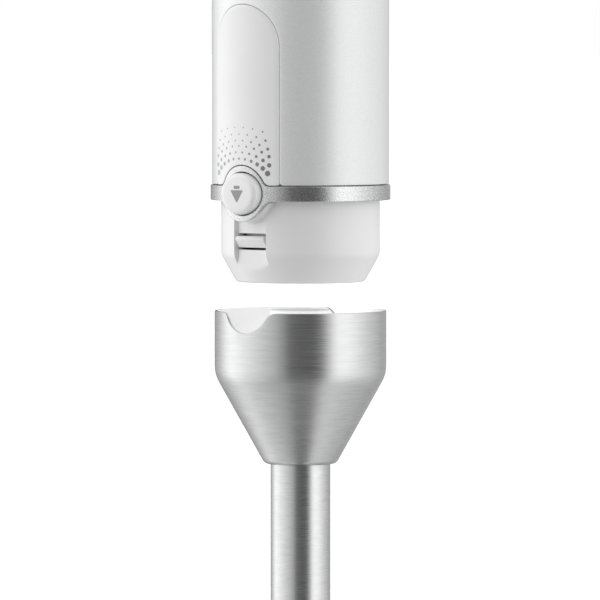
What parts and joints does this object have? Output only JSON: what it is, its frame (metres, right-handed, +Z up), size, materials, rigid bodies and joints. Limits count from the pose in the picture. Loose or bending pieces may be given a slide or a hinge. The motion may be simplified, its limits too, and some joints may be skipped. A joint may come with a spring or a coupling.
{
  "type": "immersion blender",
  "caption": "Round-bodied immersion blender with a white neck and a detachable brushed steel blending foot, shown with the foot pulled off its latches.",
  "frame": {"origin": "on the axis, in the middle of the hand grip", "axes": "+Z up along the axis from the blade to the dial, -Y out of the front, where the controls and the front release button are"},
  "size_m": [0.064, 0.0684, 0.4287],
  "materials": {
    "body_sleeve": "pearl satin",
    "front_panel": "satin gloss",
    "control_panel": "satin gloss",
    "band_ring": "satin silver with a fine sparkle",
    "neck_adapter": "satin",
    "top_cap": "satin gloss",
    "cord_inlet": "matt",
    "speed_dial": "satin",
    "potentiometer": "moulded",
    "power_button": "satin gloss",
    "turbo_button": "satin",
    "spring_wire": "drawn wire",
    "switch_body": "moulded",
    "control_board": "coated",
    "capacitor": "moulded",
    "terminal_block": "moulded",
    "chassis": "moulded",
    "end_plate": "die cast",
    "bearing": "ground",
    "damper": "moulded",
    "lamination": "stacked sheet, varnished",
    "winding": "enamelled copper wire",
    "commutator": "turned copper bars",
    "brush_holder": "stamped",
    "carbon_brush": "pressed carbon",
    "shaft_steel": "ground",
    "screw_steel": "zinc plated",
    "fan": "moulded",
    "drive_coupler": "glass-filled plastic",
    "driven_coupler": "glass-filled plastic",
    "release_button": "satin gloss with a printed sign",
    "release_latch": "satin",
    "funnel_collar": "brushed round the axis",
    "socket_liner": "satin",
    "shaft_tube": "brushed round the axis",
    "bell_guard": "brushed round the axis",
    "bush": "sintered bronze",
    "shaft_seal": "moulded",
    "blade": "stamped and ground"
  },
  "bodies": {
    "motor_unit": {"body_sleeve": "body_sleeve", "front_panel": "front_panel", "control_panel": "control_panel", "band_ring": "band_ring", "neck_adapter": "neck_adapter", "top_cap": "top_cap", "cord_inlet": "cord_inlet", "potentiometer": "potentiometer", "power_spring": "spring_wire", "turbo_spring": "spring_wire", "power_switch": "switch_body", "turbo_switch": "switch_body", "control_board": "control_board", "capacitor": "capacitor", "terminal_block": "terminal_block", "chassis": "chassis", "stator_core": "lamination", "upper_end_plate": "end_plate", "lower_end_plate": "end_plate", "upper_bearing": "bearing", "lower_bearing": "bearing", "upper_damper": "damper", "lower_damper": "damper", "field_coil_left": "winding", "field_coil_right": "winding", "brush_holder_left": "brush_holder", "brush_holder_right": "brush_holder", "carbon_brush_left": "carbon_brush", "carbon_brush_right": "carbon_brush", "shelf_screw_left": "screw_steel", "shelf_screw_right": "screw_steel", "motor_bolt_front": "screw_steel", "motor_bolt_rear": "screw_steel", "release_spring_front": "spring_wire", "release_spring_rear": "spring_wire"},
    "foot": {"funnel_collar": "funnel_collar", "socket_liner": "socket_liner", "shaft_tube": "shaft_tube", "bell_guard": "bell_guard", "upper_bush": "bush", "lower_bush": "bush", "shaft_seal": "shaft_seal"},
    "rotor": {"motor_shaft": "shaft_steel", "armature_core": "lamination", "armature_winding": "winding", "commutator": "commutator", "cooling_fan": "fan", "drive_coupler": "drive_coupler"},
    "cutter": {"driven_coupler": "driven_coupler", "drive_shaft": "shaft_steel", "blade": "blade", "blade_nut": "shaft_steel"},
    "release_front": {"release_button_front": "release_button", "release_latch_front": "release_latch"},
    "release_rear": {"release_button_rear": "release_button", "release_latch_rear": "release_latch"},
    "power_key": {"power_button": "power_button"},
    "turbo_key": {"turbo_button": "turbo_button"},
    "dial": {"speed_dial": "speed_dial"}
  },
  "joints": [
    {"name": "foot_dock", "type": "slide", "parent": "motor_unit", "child": "foot", "axis": [0, 0, 1], "range_m": [0, 0.0385]},
    {"name": "motor_spin", "type": "hinge", "parent": "motor_unit", "child": "rotor", "pos_m": [0, 0, 0], "axis": [0, 0, 1], "continuous": true},
    {"name": "blade_spin", "type": "hinge", "parent": "foot", "child": "cutter", "pos_m": [0, 0, -0.2], "axis": [0, 0, 1], "continuous": true},
    {"name": "release_front_press", "type": "slide", "parent": "motor_unit", "child": "release_front", "axis": [0, 1, 0], "range_m": [0, 0.0025], "stiffness_N_per_m": 1500, "springref_m": -0.001, "deforming": ["release_spring_front"]},
    {"name": "release_rear_press", "type": "slide", "parent": "motor_unit", "child": "release_rear", "axis": [0, -1, 0], "range_m": [0, 0.0025], "stiffness_N_per_m": 1500, "springref_m": -0.001, "deforming": ["release_spring_rear"]},
    {"name": "power_press", "type": "slide", "parent": "motor_unit", "child": "power_key", "axis": [0, 1, 0], "range_m": [0, 0.002], "stiffness_N_per_m": 800, "springref_m": -0.0005, "deforming": ["power_spring"]},
    {"name": "turbo_press", "type": "slide", "parent": "motor_unit", "child": "turbo_key", "axis": [0, 1, 0], "range_m": [0, 0.002], "stiffness_N_per_m": 800, "springref_m": -0.0005, "deforming": ["turbo_spring"]},
    {"name": "dial_turn", "type": "hinge", "parent": "motor_unit", "child": "dial", "pos_m": [0, -0.006, 0.088], "axis": [0, 0, 1], "range_deg": [0, 270]}
  ],
  "couplings": [
    {"joint": "blade_spin", "follows": "motor_spin", "ratio": 1}
  ]
}
